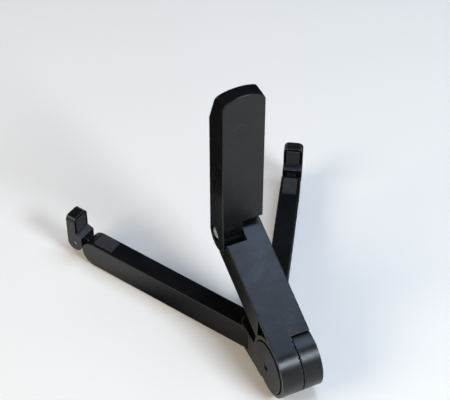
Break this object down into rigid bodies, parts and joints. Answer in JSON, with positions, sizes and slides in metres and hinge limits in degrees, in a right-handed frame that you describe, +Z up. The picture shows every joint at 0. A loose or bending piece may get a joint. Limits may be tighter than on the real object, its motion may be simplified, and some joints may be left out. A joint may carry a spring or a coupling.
{
  "type": "tablet stand",
  "caption": "Folding tablet stand: two spread legs with flip-up hooks, a cranked arm on a toothed hub, and a head plate that folds on the arm's elbow.",
  "frame": {"origin": "on the table, at the middle of the rubber foot under the base, in the stand's middle plane", "axes": "+Z up; +Y towards the hub, away from the tablet; +X to the stand's own left, which is the left seen from behind"},
  "size_m": [0.166, 0.1757, 0.1706],
  "materials": {
    "shell_plastic": "satin moulded black",
    "cover_plastic": "fine spark-eroded black",
    "cap_plastic": "flat dark grey",
    "pad_rubber": "matt black",
    "screw_steel": "zinc plated",
    "bush_brass": "turned",
    "friction_fibre": "fibre disc"
  },
  "bodies": {
    "base": {"base_frame": "shell_plastic", "base_plate": "cover_plastic", "base_screws": "screw_steel", "base_foot": "pad_rubber", "left_leg_pin": "screw_steel", "right_leg_pin": "screw_steel", "hub_bolt": "screw_steel", "hub_nut": "screw_steel", "hub_washer": "screw_steel", "hub_spring_washers": "screw_steel", "right_hub_cap": "cap_plastic"},
    "arm": {"arm_shell": "shell_plastic", "arm_cover": "cover_plastic", "arm_cover_screws": "screw_steel", "hub_bush": "bush_brass", "left_hub_cap": "cap_plastic", "elbow_bolt": "screw_steel", "elbow_nut": "screw_steel", "elbow_washer": "screw_steel", "elbow_friction_disc": "friction_fibre"},
    "head": {"head_shell": "shell_plastic", "head_cover": "cover_plastic", "head_cover_screws": "screw_steel", "head_pad": "pad_rubber", "elbow_bush": "bush_brass"},
    "left_leg": {"left_leg_shell": "shell_plastic", "left_leg_cover": "cover_plastic", "left_leg_cover_screws": "screw_steel", "left_leg_rest_pad": "pad_rubber", "left_leg_foot": "pad_rubber"},
    "right_leg": {"right_leg_shell": "shell_plastic", "right_leg_cover": "cover_plastic", "right_leg_cover_screws": "screw_steel", "right_leg_rest_pad": "pad_rubber", "right_leg_foot": "pad_rubber"},
    "left_hook": {"left_hook": "shell_plastic", "left_hook_face": "pad_rubber", "left_hook_pin": "screw_steel"},
    "right_hook": {"right_hook": "shell_plastic", "right_hook_face": "pad_rubber", "right_hook_pin": "screw_steel"}
  },
  "joints": [
    {"name": "arm_pitch", "type": "hinge", "parent": "base", "child": "arm", "pos_m": [0, 0.023, 0.0196], "axis": [-1, 0, 0], "range_deg": [-23.9, 56]},
    {"name": "head_fold", "type": "hinge", "parent": "arm", "child": "head", "pos_m": [0, -0.05216, 0.0598], "axis": [-1, 0, 0], "range_deg": [-66.1, 6]},
    {"name": "left_leg_swing", "type": "hinge", "parent": "base", "child": "left_leg", "pos_m": [0.0064, -0.0117, 0.01], "axis": [0, 0, 1], "range_deg": [-30.3, 0]},
    {"name": "right_leg_swing", "type": "hinge", "parent": "base", "child": "right_leg", "pos_m": [-0.0064, -0.0117, 0.01], "axis": [0, 0, -1], "range_deg": [-32, 0]},
    {"name": "left_hook_fold", "type": "hinge", "parent": "left_leg", "child": "left_hook", "pos_m": [0.07315, -0.12593, 0.012], "axis": [-0.8634, -0.5045, 0], "range_deg": [-90, 0]},
    {"name": "right_hook_fold", "type": "hinge", "parent": "right_leg", "child": "right_hook", "pos_m": [-0.07651, -0.1239, 0.012], "axis": [-0.848, 0.5299, 0], "range_deg": [-90, 0]}
  ]
}
